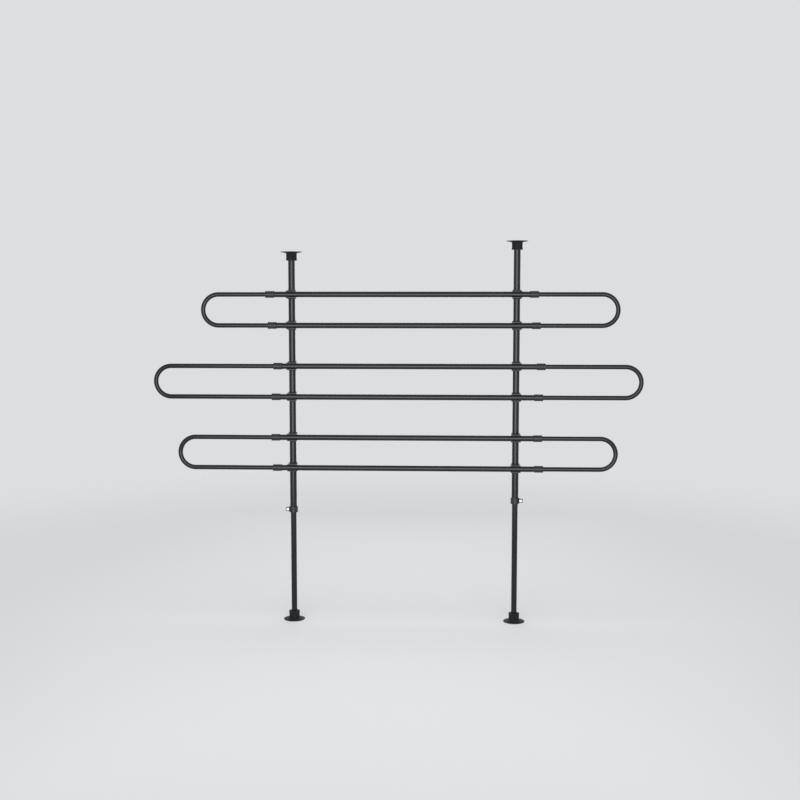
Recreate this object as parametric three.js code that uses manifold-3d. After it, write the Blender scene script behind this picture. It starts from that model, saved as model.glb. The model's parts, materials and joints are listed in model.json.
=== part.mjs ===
// A tube dog guard for the back of a car. Two telescopic poles stand between floor and roof, and
// three long tube loops are clamped across them. The ends of each loop slide in and out.
// Millimetres, +Z up. The origin is the middle of the left floor foot's underside, +X runs
// across the car to the right pole, and the loops are on the -Y side of the poles.

import * as THREE from 'three';
import { mergeVertices } from 'three/addons/utils/BufferGeometryUtils.js';
import Module from 'manifold-3d';

// Fits
const slideClearance = 0.3;      // all round, between a tube and the tube that slides in it
const fit = 0.3;                 // between a piece and what it seats on, grips or passes through
const overrun = 1;               // how far a cut runs past the face that it leaves by

// Poles
const poleHeight = 1050;         // floor to roof at the left pole
const rightPoleRaise = 29;       // how much further the right pole is drawn out
const poleSpacing = 630;         // between the two pole axes
const outerPoleDiameter = 19;
const outerPoleWall = 1.2;
const outerPoleLength = 727;
const innerPoleWall = 1.2;
const poleInsertion = 300;       // how far the left inner pole reaches into its outer pole

// Feet, one rubber moulding each: a thin disc with a socket for the pole
const footDiscDiameter = 60;
const footDiscThickness = 3.5;
const footDiscEdge = 1.2;
const footSocketWall = 5.7;
const footSocketLength = 21;
const footSocketChamfer = 1.5;

// Lock collars at the lower ends of the outer poles
const lockWall = 2.4;
const lockGrip = 10;             // length on the outer pole
const lockThroat = 7;            // length on the inner pole, which it pinches
const lockEarReach = 21.5;       // from the pole's axis to the ear's outer end
const lockEarDepth = 13;
const lockEarHeight = 11;
const lockEarChamfer = 2;
const lockSlit = 1.6;
const lockBoltAxis = 16;         // from the pole's axis to the bolt's
const lockBoltDiameter = 5;
const lockBoltHeadFlats = 8;
const lockBoltHeadHeight = 3.5;
const lockBoltTail = 5;          // past the back of the ear

// Loops
const loopHeightShares = [0.802, 0.514, 0.225];   // up the free length of the outer poles
const loopPitch = 86.5;          // between the upper and the lower bar of a loop
const barDiameter = 16;
const barWall = 1.2;
const sideTravel = 27.5;         // free run of a centred bar before a collar meets a clamp
const loopShiftShares = [-0.102, 0.442, 0.345];   // of the side travel, to the right
const barStaggerShares = [0.113, -0.107, 0.065];  // of it: the lower bar to the right, the upper to the left

// Sliding ends of the loops, one bent tube each
const endWall = 1;
const endLegLength = 375;        // straight length of each leg
const endLeastInsertion = 50;    // stays inside when the end is drawn right out
const leftDrawShares = [0.42, 0.888, 0.676];      // of the greatest draw
const rightDrawShares = [0.534, 0.694, 0.494];

// Collars on the ends of the bars
const collarWall = 1.6;
const collarGrip = 19;           // length on the bar
const collarMouth = 5;           // length on the sliding leg
const collarChamfer = 1.2;

// Cross clamps, which grip the pole all round and hold the bar in an open jaw
const clampWall = 3.9;           // round the pole, at mid height
const clampNeckWall = 1.8;       // round the pole, at both ends
const clampHeight = 26.5;
const clampShoulder = 5;         // height of each tapered end
const clampWeb = 2;              // between the pole's bore and the bar's
const jawWidth = 27;
const jawWall = 2.4;             // above and below the bar
const jawReach = 3.5;            // past the bar's axis
const jawChamfer = 1.4;
const clampEarReach = 24;        // from the pole's axis to the back of the ears
const clampEarHeight = 15;
const clampEarThickness = 6.5;
const clampEarChamfer = 3;
const clampSlit = 2;
const clampScrewAxis = 18.8;     // from the pole's axis to the screw's
const clampScrewDiameter = 5;
const clampScrewHeadDiameter = 8.5;
const clampScrewHeadHeight = 5;
const clampScrewTail = 2;        // past the far ear

// Facets
const roundSides = 16;           // of every tube and bore, so that their flats line up
const screwSides = 12;
const hexSides = 6;
const bendSteps = 9;

// Finishes
const steelBlack = new THREE.MeshStandardMaterial({ color: '#17181b', roughness: 0.32, metalness: 0.4 });
const endBlack = new THREE.MeshStandardMaterial({ color: '#131417', roughness: 0.28, metalness: 0.4 });
const plasticBlack = new THREE.MeshStandardMaterial({ color: '#1d1e24', roughness: 0.5, metalness: 0 });
const rubberBlack = new THREE.MeshStandardMaterial({ color: '#151516', roughness: 0.85, metalness: 0 });
const zincSteel = new THREE.MeshStandardMaterial({ color: '#c9ccd0', roughness: 0.25, metalness: 1 });

// Sizes that follow from those above
const outerPoleRadius = outerPoleDiameter / 2;
const innerPoleRadius = outerPoleRadius - outerPoleWall - slideClearance;
const barRadius = barDiameter / 2;
const endRadius = barRadius - barWall - slideClearance;
const bendRadius = loopPitch / 2;
const poleSeat = footDiscThickness + fit;
const outerPoleBottom = poleHeight - poleSeat - outerPoleLength;
const innerPoleLength = outerPoleBottom + poleInsertion - poleSeat;
const lockTop = outerPoleBottom + lockGrip;
const freePoleLength = poleHeight - footDiscThickness - footSocketLength - lockTop;
const clampBore = outerPoleRadius + fit;
const barBore = barRadius + fit;
const barOffset = clampBore + clampWeb + barBore;
const barLength = poleSpacing + jawWidth + 2 * (sideTravel + collarGrip);
const barTip = barLength / 2 + fit + collarMouth;
const greatestDraw = endLegLength - endLeastInsertion;

const wasm = await Module();
wasm.setup();

/** Turns a closed mesh into a solid that can be cut and joined. */
function solidOf(geometry) {
    const bare = geometry.clone();
    bare.deleteAttribute('normal');
    bare.deleteAttribute('uv');
    const merged = mergeVertices(bare);
    return new wasm.Manifold(new wasm.Mesh({
        numProp: 3,
        vertProperties: new Float32Array(merged.attributes.position.array),
        triVerts: new Uint32Array(merged.index.array),
    }));
}

/** Turns a solid back into a mesh. */
function geometryOf(solid) {
    const mesh = solid.getMesh();
    const geometry = new THREE.BufferGeometry();
    geometry.setAttribute('position', new THREE.BufferAttribute(new Float32Array(mesh.vertProperties), 3));
    geometry.setIndex(new THREE.BufferAttribute(new Uint32Array(mesh.triVerts), 1));
    const flat = geometry.toNonIndexed();
    flat.computeVertexNormals();
    return flat;
}

/** Joins the first list of meshes and cuts the second list out of them. */
function cutSolid(bodies, cuts) {
    let solid = solidOf(bodies[0]);
    for (const body of bodies.slice(1)) solid = solid.add(solidOf(body));
    for (const cut of cuts) solid = solid.subtract(solidOf(cut));
    return geometryOf(solid);
}

/** Spins a profile of [radius, height] points about +Z. One that starts off the axis is closed. */
function turned(profile, sides = roundSides) {
    const points = profile.map(([radius, height]) => new THREE.Vector2(radius, height));
    if (profile[0][0] > 0) points.push(points[0].clone());
    return new THREE.LatheGeometry(points, sides).rotateX(Math.PI / 2);
}

/** A straight tube along +Z from bottom to top. */
function tube(outerRadius, wall, bottom, top) {
    const inner = outerRadius - wall;
    return turned([[outerRadius, bottom], [outerRadius, top], [inner, top], [inner, bottom]]);
}

/** A solid bar along +Z from bottom to top. */
function rod(radius, bottom, top, sides = roundSides) {
    return turned([[0, bottom], [radius, bottom], [radius, top], [0, top]], sides);
}

/** A box between two corners. */
function block(low, high) {
    const size = new THREE.Vector3().subVectors(high, low);
    const middle = new THREE.Vector3().addVectors(low, high).multiplyScalar(0.5);
    return new THREE.BoxGeometry(size.x, size.y, size.z).translate(middle.x, middle.y, middle.z);
}

/** A plate of the outline [across, up] that runs from near to far along +X, with +Y across. */
function plateAlongX(outline, near, far) {
    const shape = new THREE.Shape(outline.map(([across, up]) => new THREE.Vector2(across, up)));
    const plate = new THREE.ExtrudeGeometry(shape, { depth: far - near, bevelEnabled: false });
    // the outline's plane turns from XY to YZ, so its depth lies along +X
    const turn = new THREE.Matrix4().makeBasis(
        new THREE.Vector3(0, 1, 0), new THREE.Vector3(0, 0, 1), new THREE.Vector3(1, 0, 0));
    return plate.applyMatrix4(turn).translate(near, 0, 0);
}

/** The centre line of a loop's end: a leg, a half circle round +X and the second leg back. */
class HairpinPath extends THREE.Curve {
    // one step is spent on each straight leg and the rest on the bend
    getUtoTmapping(u) {
        return u;
    }

    place(t) {
        return t * (bendSteps + 2) - 1;
    }

    getPoint(t) {
        const step = this.place(t);
        if (step <= 0) return new THREE.Vector3(step * endLegLength, 0, bendRadius);
        if (step >= bendSteps) {
            return new THREE.Vector3((bendSteps - step) * endLegLength, 0, -bendRadius);
        }
        const angle = Math.PI * step / bendSteps;
        return new THREE.Vector3(bendRadius * Math.sin(angle), 0, bendRadius * Math.cos(angle));
    }

    getTangent(t) {
        const angle = Math.PI * THREE.MathUtils.clamp(this.place(t) / bendSteps, 0, 1);
        return new THREE.Vector3(Math.cos(angle), 0, -Math.sin(angle));
    }
}

/** The points of a circle of flats, with a corner on each axis. */
function circle(radius) {
    const points = [];
    for (let side = 0; side < roundSides; side++) {
        const angle = 2 * Math.PI * side / roundSides;
        points.push(new THREE.Vector2(radius * Math.cos(angle), radius * Math.sin(angle)));
    }
    return points;
}

/** The bent end of a loop, with its bend's centre at the origin and its legs running to -X. */
function makeLoopEnd() {
    const section = new THREE.Shape(circle(endRadius));
    section.holes.push(new THREE.Path(circle(endRadius - endWall)));
    const path = new HairpinPath();
    return new THREE.ExtrudeGeometry(section, {
        extrudePath: path, steps: bendSteps + 2, bevelEnabled: false });
}

/** A rubber foot that stands at z = 0 and takes a pole of the given radius. */
function makeFoot(poleRadius) {
    const bore = poleRadius + fit;
    const socket = outerPoleRadius + fit + footSocketWall;
    const top = footDiscThickness + footSocketLength;
    return turned([
        [0, 0],
        [footDiscDiameter / 2, 0],
        [footDiscDiameter / 2, footDiscEdge],
        [socket, footDiscThickness],
        [socket, top - footSocketChamfer],
        [socket - footSocketChamfer, top],
        [bore, top],
        [bore, footDiscThickness],
        [0, footDiscThickness],
    ]);
}

/** The split collar that pinches the inner pole, with its ear on +X and the outer pole's end at z = 0. */
function makeLockCollar() {
    const outside = outerPoleRadius + fit + lockWall;
    const bottom = -fit - lockThroat;
    const ring = rod(outside, bottom, lockGrip);
    const middle = (bottom + lockGrip) / 2;
    const half = lockEarDepth / 2;
    const side = lockEarReach - lockEarChamfer;
    const shape = new THREE.Shape([
        new THREE.Vector2(0, -half), new THREE.Vector2(side, -half),
        new THREE.Vector2(lockEarReach, -half + lockEarChamfer),
        new THREE.Vector2(lockEarReach, half - lockEarChamfer),
        new THREE.Vector2(side, half), new THREE.Vector2(0, half),
    ]);
    const ear = new THREE.ExtrudeGeometry(shape, { depth: lockEarHeight, bevelEnabled: false })
        .translate(0, 0, middle - lockEarHeight / 2);
    const upperBore = rod(outerPoleRadius + fit, -fit, lockGrip + overrun);
    const throat = rod(innerPoleRadius + fit, bottom - overrun, overrun);
    const slit = block(
        new THREE.Vector3(0, -lockSlit / 2, bottom - overrun),
        new THREE.Vector3(lockEarReach + overrun, lockSlit / 2, lockGrip + overrun));
    const hole = rod(lockBoltDiameter / 2 + fit, -half - overrun, half + overrun, screwSides)
        .rotateX(-Math.PI / 2).translate(lockBoltAxis, 0, middle);
    return cutSolid([ring, ear], [upperBore, throat, slit, hole]);
}

/** The hexagon bolt of a lock collar, along Y with its head in front, level with the ear's middle. */
function makeLockBolt() {
    const front = -lockEarDepth / 2 - fit;
    const corner = lockBoltHeadFlats / 2 / Math.cos(Math.PI / hexSides);
    const head = rod(corner, 0, lockBoltHeadHeight, hexSides);
    const shankLength = lockEarDepth + fit + lockBoltTail;
    const shank = rod(lockBoltDiameter / 2, -shankLength, lockBoltHeadHeight / 2, screwSides);
    return cutSolid([head, shank], []).rotateX(Math.PI / 2).translate(0, front, 0);
}

/** A collar for the right-hand end of a bar, along X with the bar's end face at x = 0. */
function makeEndCollar() {
    const outside = barRadius + fit + collarWall;
    const mouth = fit + collarMouth;
    return turned([
        [outside - collarChamfer, -collarGrip],
        [outside, -collarGrip + collarChamfer],
        [outside, mouth - collarChamfer],
        [outside - collarChamfer, mouth],
        [endRadius + fit, mouth],
        [endRadius + fit, fit],
        [barRadius + fit, fit],
        [barRadius + fit, -collarGrip],
    ]).rotateY(Math.PI / 2);
}

/** A cross clamp with its pole along Z through the origin and its bar along X in front of it. */
function makeClamp() {
    const outside = clampBore + clampWall;
    const neck = clampBore + clampNeckWall;
    const half = clampHeight / 2;
    const shoulder = half - clampShoulder;
    const barrel = turned([
        [0, -half], [neck, -half], [outside, -shoulder], [outside, shoulder], [neck, half], [0, half]]);
    const lip = barBore + jawWall;
    const face = -barOffset - jawReach;
    const jaw = plateAlongX([
        [0, -lip], [0, lip], [face + jawChamfer, lip], [face, lip - jawChamfer],
        [face, -lip + jawChamfer], [face + jawChamfer, -lip],
    ].reverse(), -jawWidth / 2, jawWidth / 2);
    const earTop = clampEarHeight / 2;
    const earWidth = clampSlit / 2 + clampEarThickness;
    const ears = plateAlongX([
        [0, -earTop], [clampEarReach - clampEarChamfer, -earTop], [clampEarReach, -earTop + clampEarChamfer],
        [clampEarReach, earTop - clampEarChamfer], [clampEarReach - clampEarChamfer, earTop], [0, earTop],
    ], -earWidth, earWidth);
    const poleCut = rod(clampBore, -half - overrun, half + overrun);
    const barCut = rod(barBore, -jawWidth / 2 - overrun, jawWidth / 2 + overrun)
        .rotateY(Math.PI / 2).translate(0, -barOffset, 0);
    const slit = block(
        new THREE.Vector3(-clampSlit / 2, 0, -half - overrun),
        new THREE.Vector3(clampSlit / 2, clampEarReach + overrun, half + overrun));
    const hole = rod(clampScrewDiameter / 2 + fit, -earWidth - overrun, earWidth + overrun, screwSides)
        .rotateY(Math.PI / 2).translate(0, clampScrewAxis, 0);
    return cutSolid([barrel, jaw, ears], [poleCut, barCut, slit, hole]);
}

/** The cap screw of a cross clamp, along X with its head on +X. */
function makeClampScrew() {
    const ear = clampSlit / 2 + clampEarThickness;
    const seat = ear + fit;
    const head = clampScrewHeadDiameter / 2;
    const shank = clampScrewDiameter / 2;
    return turned([
        [0, -ear - clampScrewTail], [shank, -ear - clampScrewTail], [shank, seat],
        [head, seat], [head, seat + clampScrewHeadHeight], [0, seat + clampScrewHeadHeight],
    ], screwSides).rotateY(Math.PI / 2).translate(0, clampScrewAxis, 0);
}

const guard = new THREE.Group();

/** Adds a named piece to a group and gives it back to be placed. */
function addPiece(group, name, geometry, material) {
    const mesh = new THREE.Mesh(geometry, material);
    mesh.name = name;
    group.add(mesh);
    return mesh;
}

const innerPoleGeometry = tube(innerPoleRadius, innerPoleWall, 0, innerPoleLength);
const outerPoleGeometry = tube(outerPoleRadius, outerPoleWall, 0, outerPoleLength);
const floorFootGeometry = makeFoot(innerPoleRadius);
const roofFootGeometry = makeFoot(outerPoleRadius);
const lockCollarGeometry = makeLockCollar();
const lockBoltGeometry = makeLockBolt();

/** Adds a pole with its feet and lock. The outward direction is -1 for the left pole and 1 for the right. */
function addPole(side, across, raise, outward) {
    const pole = new THREE.Group();
    pole.position.x = across;
    guard.add(pole);
    addPiece(pole, side + '_floor_foot', floorFootGeometry, rubberBlack);
    addPiece(pole, side + '_inner_pole', innerPoleGeometry, steelBlack).position.z = poleSeat;

    const upper = new THREE.Group();
    upper.position.z = outerPoleBottom + raise;
    pole.add(upper);
    addPiece(upper, side + '_outer_pole', outerPoleGeometry, steelBlack);
    const roofFoot = addPiece(upper, side + '_roof_foot', roofFootGeometry, rubberBlack);
    roofFoot.position.z = outerPoleLength + poleSeat;
    roofFoot.rotation.x = Math.PI;
    const collar = addPiece(upper, side + '_lock_collar', lockCollarGeometry, plasticBlack);
    collar.rotation.z = outward > 0 ? 0 : Math.PI;
    const bolt = addPiece(upper, side + '_lock_bolt', lockBoltGeometry, zincSteel);
    bolt.position.set(outward * lockBoltAxis, 0, (lockGrip - fit - lockThroat) / 2);
}

addPole('left', 0, 0, -1);
addPole('right', poleSpacing, rightPoleRaise, 1);

const barGeometry = tube(barRadius, barWall, -barLength / 2, barLength / 2).rotateY(Math.PI / 2);
const loopEndGeometry = makeLoopEnd();
const endCollarGeometry = makeEndCollar();
const clampGeometry = makeClamp();
const clampScrewGeometry = makeClampScrew();

/** Adds one loop: two bars with their collars, two sliding ends and four cross clamps. */
function addLoop(name, height, shift, stagger, leftDraw, rightDraw) {
    const loop = new THREE.Group();
    loop.position.set(poleSpacing / 2, 0, height);
    guard.add(loop);

    const bars = new THREE.Group();
    bars.position.set(shift, -barOffset, 0);
    loop.add(bars);
    const rightEnd = addPiece(bars, name + '_right_end', loopEndGeometry, endBlack);
    rightEnd.position.x = barTip + rightDraw;
    const leftEnd = addPiece(bars, name + '_left_end', loopEndGeometry, endBlack);
    leftEnd.position.x = -barTip - leftDraw;
    leftEnd.rotation.z = Math.PI;

    for (const [level, up, along] of [['upper', bendRadius, -stagger], ['lower', -bendRadius, stagger]]) {
        const place = name + '_' + level;
        addPiece(bars, place + '_bar', barGeometry, steelBlack).position.set(along, 0, up);
        for (const [side, outward] of [['left', -1], ['right', 1]]) {
            const turn = outward > 0 ? 0 : Math.PI;
            const collar = addPiece(bars, place + '_' + side + '_collar', endCollarGeometry, plasticBlack);
            collar.position.set(along + outward * barLength / 2, 0, up);
            collar.rotation.z = turn;
            const clamp = new THREE.Group();
            clamp.position.set(outward * poleSpacing / 2, 0, up);
            loop.add(clamp);
            addPiece(clamp, place + '_' + side + '_clamp', clampGeometry, plasticBlack);
            const screw = addPiece(clamp, place + '_' + side + '_clamp_screw', clampScrewGeometry, zincSteel);
            screw.scale.x = outward;
        }
    }
}

['top', 'middle', 'bottom'].forEach((name, place) => {
    addLoop(
        name,
        lockTop + loopHeightShares[place] * freePoleLength,
        loopShiftShares[place] * sideTravel,
        barStaggerShares[place] * sideTravel,
        leftDrawShares[place] * greatestDraw,
        rightDrawShares[place] * greatestDraw);
});

export default guard;
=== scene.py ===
"""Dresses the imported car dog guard.

Two telescopic poles stand between floor and roof. Three tube loops are clamped across them, and the
bent ends of each loop slide in its bars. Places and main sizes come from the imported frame.
"""

import json
import logging
import math
from collections.abc import Iterable, Sequence
from dataclasses import dataclass
from enum import Enum
from functools import cached_property
from typing import Any

import bmesh
import bpy
from mathutils import Matrix, Vector


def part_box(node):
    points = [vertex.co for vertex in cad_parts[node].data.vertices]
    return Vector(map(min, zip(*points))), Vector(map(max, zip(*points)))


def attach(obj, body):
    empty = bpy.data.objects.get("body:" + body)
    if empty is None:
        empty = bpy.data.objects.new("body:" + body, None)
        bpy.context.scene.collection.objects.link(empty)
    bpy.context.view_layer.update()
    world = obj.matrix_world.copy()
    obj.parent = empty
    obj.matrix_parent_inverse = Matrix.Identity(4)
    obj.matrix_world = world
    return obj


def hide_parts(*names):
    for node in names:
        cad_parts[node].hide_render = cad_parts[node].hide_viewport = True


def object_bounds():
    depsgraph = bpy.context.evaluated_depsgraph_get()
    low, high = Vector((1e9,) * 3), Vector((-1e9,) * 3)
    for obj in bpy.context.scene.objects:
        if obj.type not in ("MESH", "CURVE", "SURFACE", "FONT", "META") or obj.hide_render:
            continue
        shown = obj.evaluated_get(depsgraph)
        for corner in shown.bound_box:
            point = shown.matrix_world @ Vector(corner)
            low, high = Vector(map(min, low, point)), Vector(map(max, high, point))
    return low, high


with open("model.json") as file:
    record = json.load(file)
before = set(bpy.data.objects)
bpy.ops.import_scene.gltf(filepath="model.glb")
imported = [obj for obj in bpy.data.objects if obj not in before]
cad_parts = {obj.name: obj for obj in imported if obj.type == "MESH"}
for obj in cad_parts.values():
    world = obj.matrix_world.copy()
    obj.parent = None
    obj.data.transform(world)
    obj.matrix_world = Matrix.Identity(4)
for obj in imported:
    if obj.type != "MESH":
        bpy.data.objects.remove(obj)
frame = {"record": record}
CAD_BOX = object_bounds()

LOG = logging.getLogger("dog_guard")
MM = 0.001
FIT_MM = 0.3        # between a piece and what it grips, passes through or sits in
PAST_MM = 2.0       # how far a cutter runs past the face that it leaves by
HAIR_MM = 0.05      # keeps two faces out of one plane
CLEAR_MM = 0.1      # how far a turned shape stands clear of the corners that it rounds off
FLARE_MM = 0.3      # the chamfer at both mouths of a screw hole
MOUTH_MM = 0.5      # the chamfer at both mouths of a pole's bore
SHANK_MM = 2.5      # the radius of the M5 bolts and screws
NUT_MM = 4.0        # the thickness of their nuts
NUT_FLATS_MM = 8.0  # the nuts across their flats
TUBE_FLATS = 56     # chords round a tube or its bore
RING_FLATS = 64     # chords round a moulded ring
HEAD_FLATS = 72     # chords round a foot or a knurled head
HOLE_FLATS = 32     # chords round a screw hole or a thread
WELD = 1e-7         # corners closer than this, in metres, are one after a spin
CUT_WELD = 1e-6     # the same after solids are joined and cut
SHARP_ANGLE = math.radians(34)
BODY_OF = {
    node: body
    for body, nodes in frame["record"]["behaviour"]["bodies"].items()
    for node in nodes
}

WHITE = (1.0, 1.0, 1.0, 1.0)

Mesh = bmesh.types.BMesh
Tree = bpy.types.NodeTree
Socket = bpy.types.NodeSocket
Points = Sequence[tuple[float, float]]
Corner = tuple[float, float, float]


class Axis(Enum):
    """An axis of the frame that a shape is turned about or laid along."""

    X = 0
    Y = 1
    Z = 2

    def lift(self, along: float, first: float, second: float) -> Vector:
        """Turns a place along the axis and two across it, in cyclic order, to a vector.

        Args:
            along: Millimetres along the axis.
            first: Millimetres along the next axis, such as Y where the axis is X.
            second: Millimetres along the one after that.

        Returns:
            The point in metres.
        """
        place = [0.0, 0.0, 0.0]
        for turn, value in enumerate((along, first, second)):
            place[(self.value + turn) % 3] = value * MM
        return Vector(place)


class Meet(Enum):
    """How one solid meets another."""

    JOIN = "UNION"
    CUT = "DIFFERENCE"
    KEEP_INSIDE = "INTERSECT"


class Side(Enum):
    """A side of the guard as the camera sees it."""

    LEFT = "left"
    RIGHT = "right"

    @property
    def outward(self) -> int:
        """The sign of X on the way out from the middle of the guard."""
        return -1 if self is Side.LEFT else 1

    @property
    def mirror(self) -> Matrix:
        """Takes a piece made for the right side to this side."""
        return Matrix.Diagonal((self.outward, 1, 1, 1))


class LoopName(Enum):
    """One of the three loops."""

    TOP = "top"
    MIDDLE = "middle"
    BOTTOM = "bottom"


class Level(Enum):
    """The upper or the lower bar of a loop."""

    UPPER = "upper"
    LOWER = "lower"


def linear(hex_colour: str) -> tuple[float, float, float, float]:
    """Turns an sRGB hex colour to the linear colour that a shader takes, by the curve of sRGB.

    Args:
        hex_colour: Six hex digits after a hash sign.

    Returns:
        Linear red, green and blue, and an alpha of one.
    """
    channels = [int(hex_colour[place:place + 2], 16) / 255 for place in (1, 3, 5)]
    red, green, blue = [c / 12.92 if c <= 0.04045 else ((c + 0.055) / 1.055) ** 2.4 for c in channels]
    return red, green, blue, 1.0


def cleared_tree(owner: bpy.types.Material | bpy.types.World) -> Tree:
    """Turns on the nodes of a material or world and clears them.

    Args:
        owner: The material or world.

    Returns:
        Its empty node tree.
    """
    owner.use_nodes = True
    owner.node_tree.nodes.clear()
    return owner.node_tree


def add_node(tree: Tree, kind: str, settings: dict[str | int, Any] | None = None,
             links: dict[str | int, Socket] | None = None) -> bpy.types.Node:
    """Adds one shader node with its settings and links.

    Args:
        tree: The node tree to add to.
        kind: The node's type name.
        settings: Values by the name of a property, or by the name or number of an input.
        links: Output sockets by the name or number of the input that each one feeds.

    Returns:
        The new node.
    """
    node = tree.nodes.new(kind)
    values = dict(settings or {})
    for name in [key for key in values if isinstance(key, str) and hasattr(node, key)]:
        setattr(node, name, values.pop(name))
    for name, value in values.items():
        node.inputs[name].default_value = value
    for name, socket in (links or {}).items():
        tree.links.new(socket, node.inputs[name])
    return node


@dataclass(frozen=True)
class Noise:
    """A noise over a surface, on object coordinates.

    Attributes:
        feature_mm: How far across its features are.
        effect: How far wear moves the roughness either way, or how many millimetres grain lifts the
            surface. Clouding doesn't use it.
        detail: How much finer detail it has.
    """

    feature_mm: float
    effect: float = 0.0
    detail: float = 2.0

    def value(self, tree: Tree, place: Socket) -> Socket:
        """Its value at a place."""
        return add_node(tree, "ShaderNodeTexNoise", {
            "Scale": 1 / (self.feature_mm * MM), "Detail": self.detail}, {"Vector": place}).outputs[0]

    def spread(self, tree: Tree, place: Socket, low: float, high: float) -> Socket:
        """Its middle half, spread between two values."""
        return add_node(tree, "ShaderNodeMapRange", {
            "From Min": 0.25, "From Max": 0.75, "To Min": low, "To Max": high},
            {"Value": self.value(tree, place)}).outputs[0]


@dataclass(frozen=True)
class Streaks(Noise):
    """A noise that is drawn out along one axis, as wide across it as its features.

    Attributes:
        along: That axis.
        length_mm: How long its streaks are.
    """

    along: Axis = Axis.X
    length_mm: float = 90.0

    def value(self, tree: Tree, place: Socket) -> Socket:
        """Its value at a place.

        Args:
            tree: The material's nodes.
            place: The object coordinates.

        Returns:
            The value's socket.
        """
        stretch = self.along.lift(self.length_mm, self.feature_mm, self.feature_mm)
        drawn = add_node(tree, "ShaderNodeMapping", {"Scale": [1 / length for length in stretch]},
                         {"Vector": place}).outputs[0]
        return add_node(tree, "ShaderNodeTexNoise", {"Scale": 1.0, "Detail": self.detail},
                        {"Vector": drawn}).outputs[0]


@dataclass(frozen=True)
class Finish:
    """A surface finish, which builds its material once for all the pieces that have it.

    Attributes:
        name: The material's name.
        slot: The record's slot that the finish belongs to. It is not used.
        colour: The sRGB base colour.
        bloom: The sRGB colour that the base colour drifts to in patches.
        roughness: The middle of the roughness.
        clouding: The noise that the colour drifts with.
        wear: The noise that the roughness follows.
        grain: The noise that lifts the surface.
        specular: The strength of the mirror reflection, where 0.5 leaves the IOR as it is.
        metallic: One where the surface is metal, else zero.
    """

    name: str
    slot: str
    colour: str
    bloom: str
    roughness: float
    clouding: Noise
    wear: Noise
    grain: Noise
    specular: float = 0.5
    metallic: float = 0.0

    @cached_property
    def material(self) -> bpy.types.Material:
        """The finish's material."""
        material = bpy.data.materials.new(self.name)
        tree = cleared_tree(material)
        place = add_node(tree, "ShaderNodeTexCoord").outputs["Object"]
        drift = self.clouding.spread(tree, place, 0, 1)
        colour = add_node(tree, "ShaderNodeMix", {
            "data_type": "RGBA", 6: linear(self.colour), 7: linear(self.bloom)}, {0: drift}).outputs[2]
        either_way = self.wear.effect
        rough = self.wear.spread(tree, place, self.roughness - either_way, self.roughness + either_way)
        normal = add_node(tree, "ShaderNodeBump", {"Distance": self.grain.effect * MM},
                          {"Height": self.grain.value(tree, place)}).outputs[0]
        shader = add_node(tree, "ShaderNodeBsdfPrincipled", {
            "Specular IOR Level": self.specular, "Metallic": self.metallic},
            {"Base Color": colour, "Roughness": rough, "Normal": normal})
        add_node(tree, "ShaderNodeOutputMaterial", links={"Surface": shader.outputs[0]})
        return material


@dataclass(frozen=True)
class PowderCoat(Finish):
    """Black polyester powder coat, baked on steel tube.

    It flows out smooth and satin, so a soft light draws one thin pale line down each tube. Sliding
    through collars has left faint rubbed streaks along it. Its orange peel is about 1 mm across, and is
    drawn at 3 mm so that it shows.
    """

    clouding: Noise = Noise(feature_mm=70, detail=3)
    wear: Noise = Streaks(feature_mm=1.5, effect=0.05)
    grain: Noise = Noise(feature_mm=3, effect=0.0015, detail=0)
    specular: float = 0.4


@dataclass(frozen=True)
class MouldedNylon(Finish):
    """Glass-filled black nylon, injection moulded in a spark-eroded tool.

    It is a satin, slightly bluish black that catches soft light along its edges and lips. The grain of
    the tool is a few hundredths of a millimetre across, and is drawn at 0.8 mm so that it shows.
    """

    clouding: Noise = Noise(feature_mm=9, detail=4)
    wear: Noise = Noise(feature_mm=4, effect=0.06)
    grain: Noise = Noise(feature_mm=0.8, effect=0.03)


@dataclass(frozen=True)
class FootRubber(Finish):
    """Black rubber, compression moulded: matt, with a fine soft grain, a little grey bloom and dust."""

    clouding: Noise = Noise(feature_mm=14, detail=5)
    wear: Noise = Noise(feature_mm=6, effect=0.08)
    grain: Noise = Noise(feature_mm=1.2, effect=0.05, detail=4)
    specular: float = 0.3


@dataclass(frozen=True)
class ZincPlate(Finish):
    """Steel with bright zinc plate and a clear passivate: silvery, a little clouded, with a crystal grain."""

    clouding: Noise = Noise(feature_mm=3, detail=3)
    wear: Noise = Noise(feature_mm=1.5, effect=0.07)
    grain: Noise = Noise(feature_mm=0.5, effect=0.008)
    metallic: float = 1.0


BAR_COAT = PowderCoat("satin_black_bar_coat", "tube_black", "#0b0c0e", "#111215", 0.22)
POLE_COAT = PowderCoat("satin_black_pole_coat", "tube_black", "#0b0c0e", "#111215", 0.22,
                       wear=Streaks(feature_mm=1.5, effect=0.05, along=Axis.Z))
END_COAT = PowderCoat("gloss_black_end_coat", "end_tube_black", "#0a0b0d", "#0f1012", 0.2,
                      wear=Streaks(feature_mm=1.5, effect=0.06), specular=0.36)
NYLON = MouldedNylon("black_nylon", "moulded_nylon", "#121317", "#191a1f", 0.36)
RUBBER = FootRubber("black_rubber", "foot_rubber", "#121214", "#1d1d20", 0.74)
ZINC = ZincPlate("bright_zinc", "zinc_steel", "#c4c8cc", "#dfe3e6", 0.24)


def arc(centre: tuple[float, float], radius: float, start: float, end: float,
        steps: int = 6) -> list[tuple[float, float]]:
    """The points of an arc, both ends included.

    Args:
        centre: The arc's centre.
        radius: Its radius.
        start: The angle that it starts at, in degrees.
        end: The angle that it ends at, in degrees.
        steps: How many chords it has.

    Returns:
        Its points in order.
    """
    angles = [math.radians(start + (end - start) * step / steps) for step in range(steps + 1)]
    return [(centre[0] + radius * math.cos(a), centre[1] + radius * math.sin(a)) for a in angles]


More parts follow.
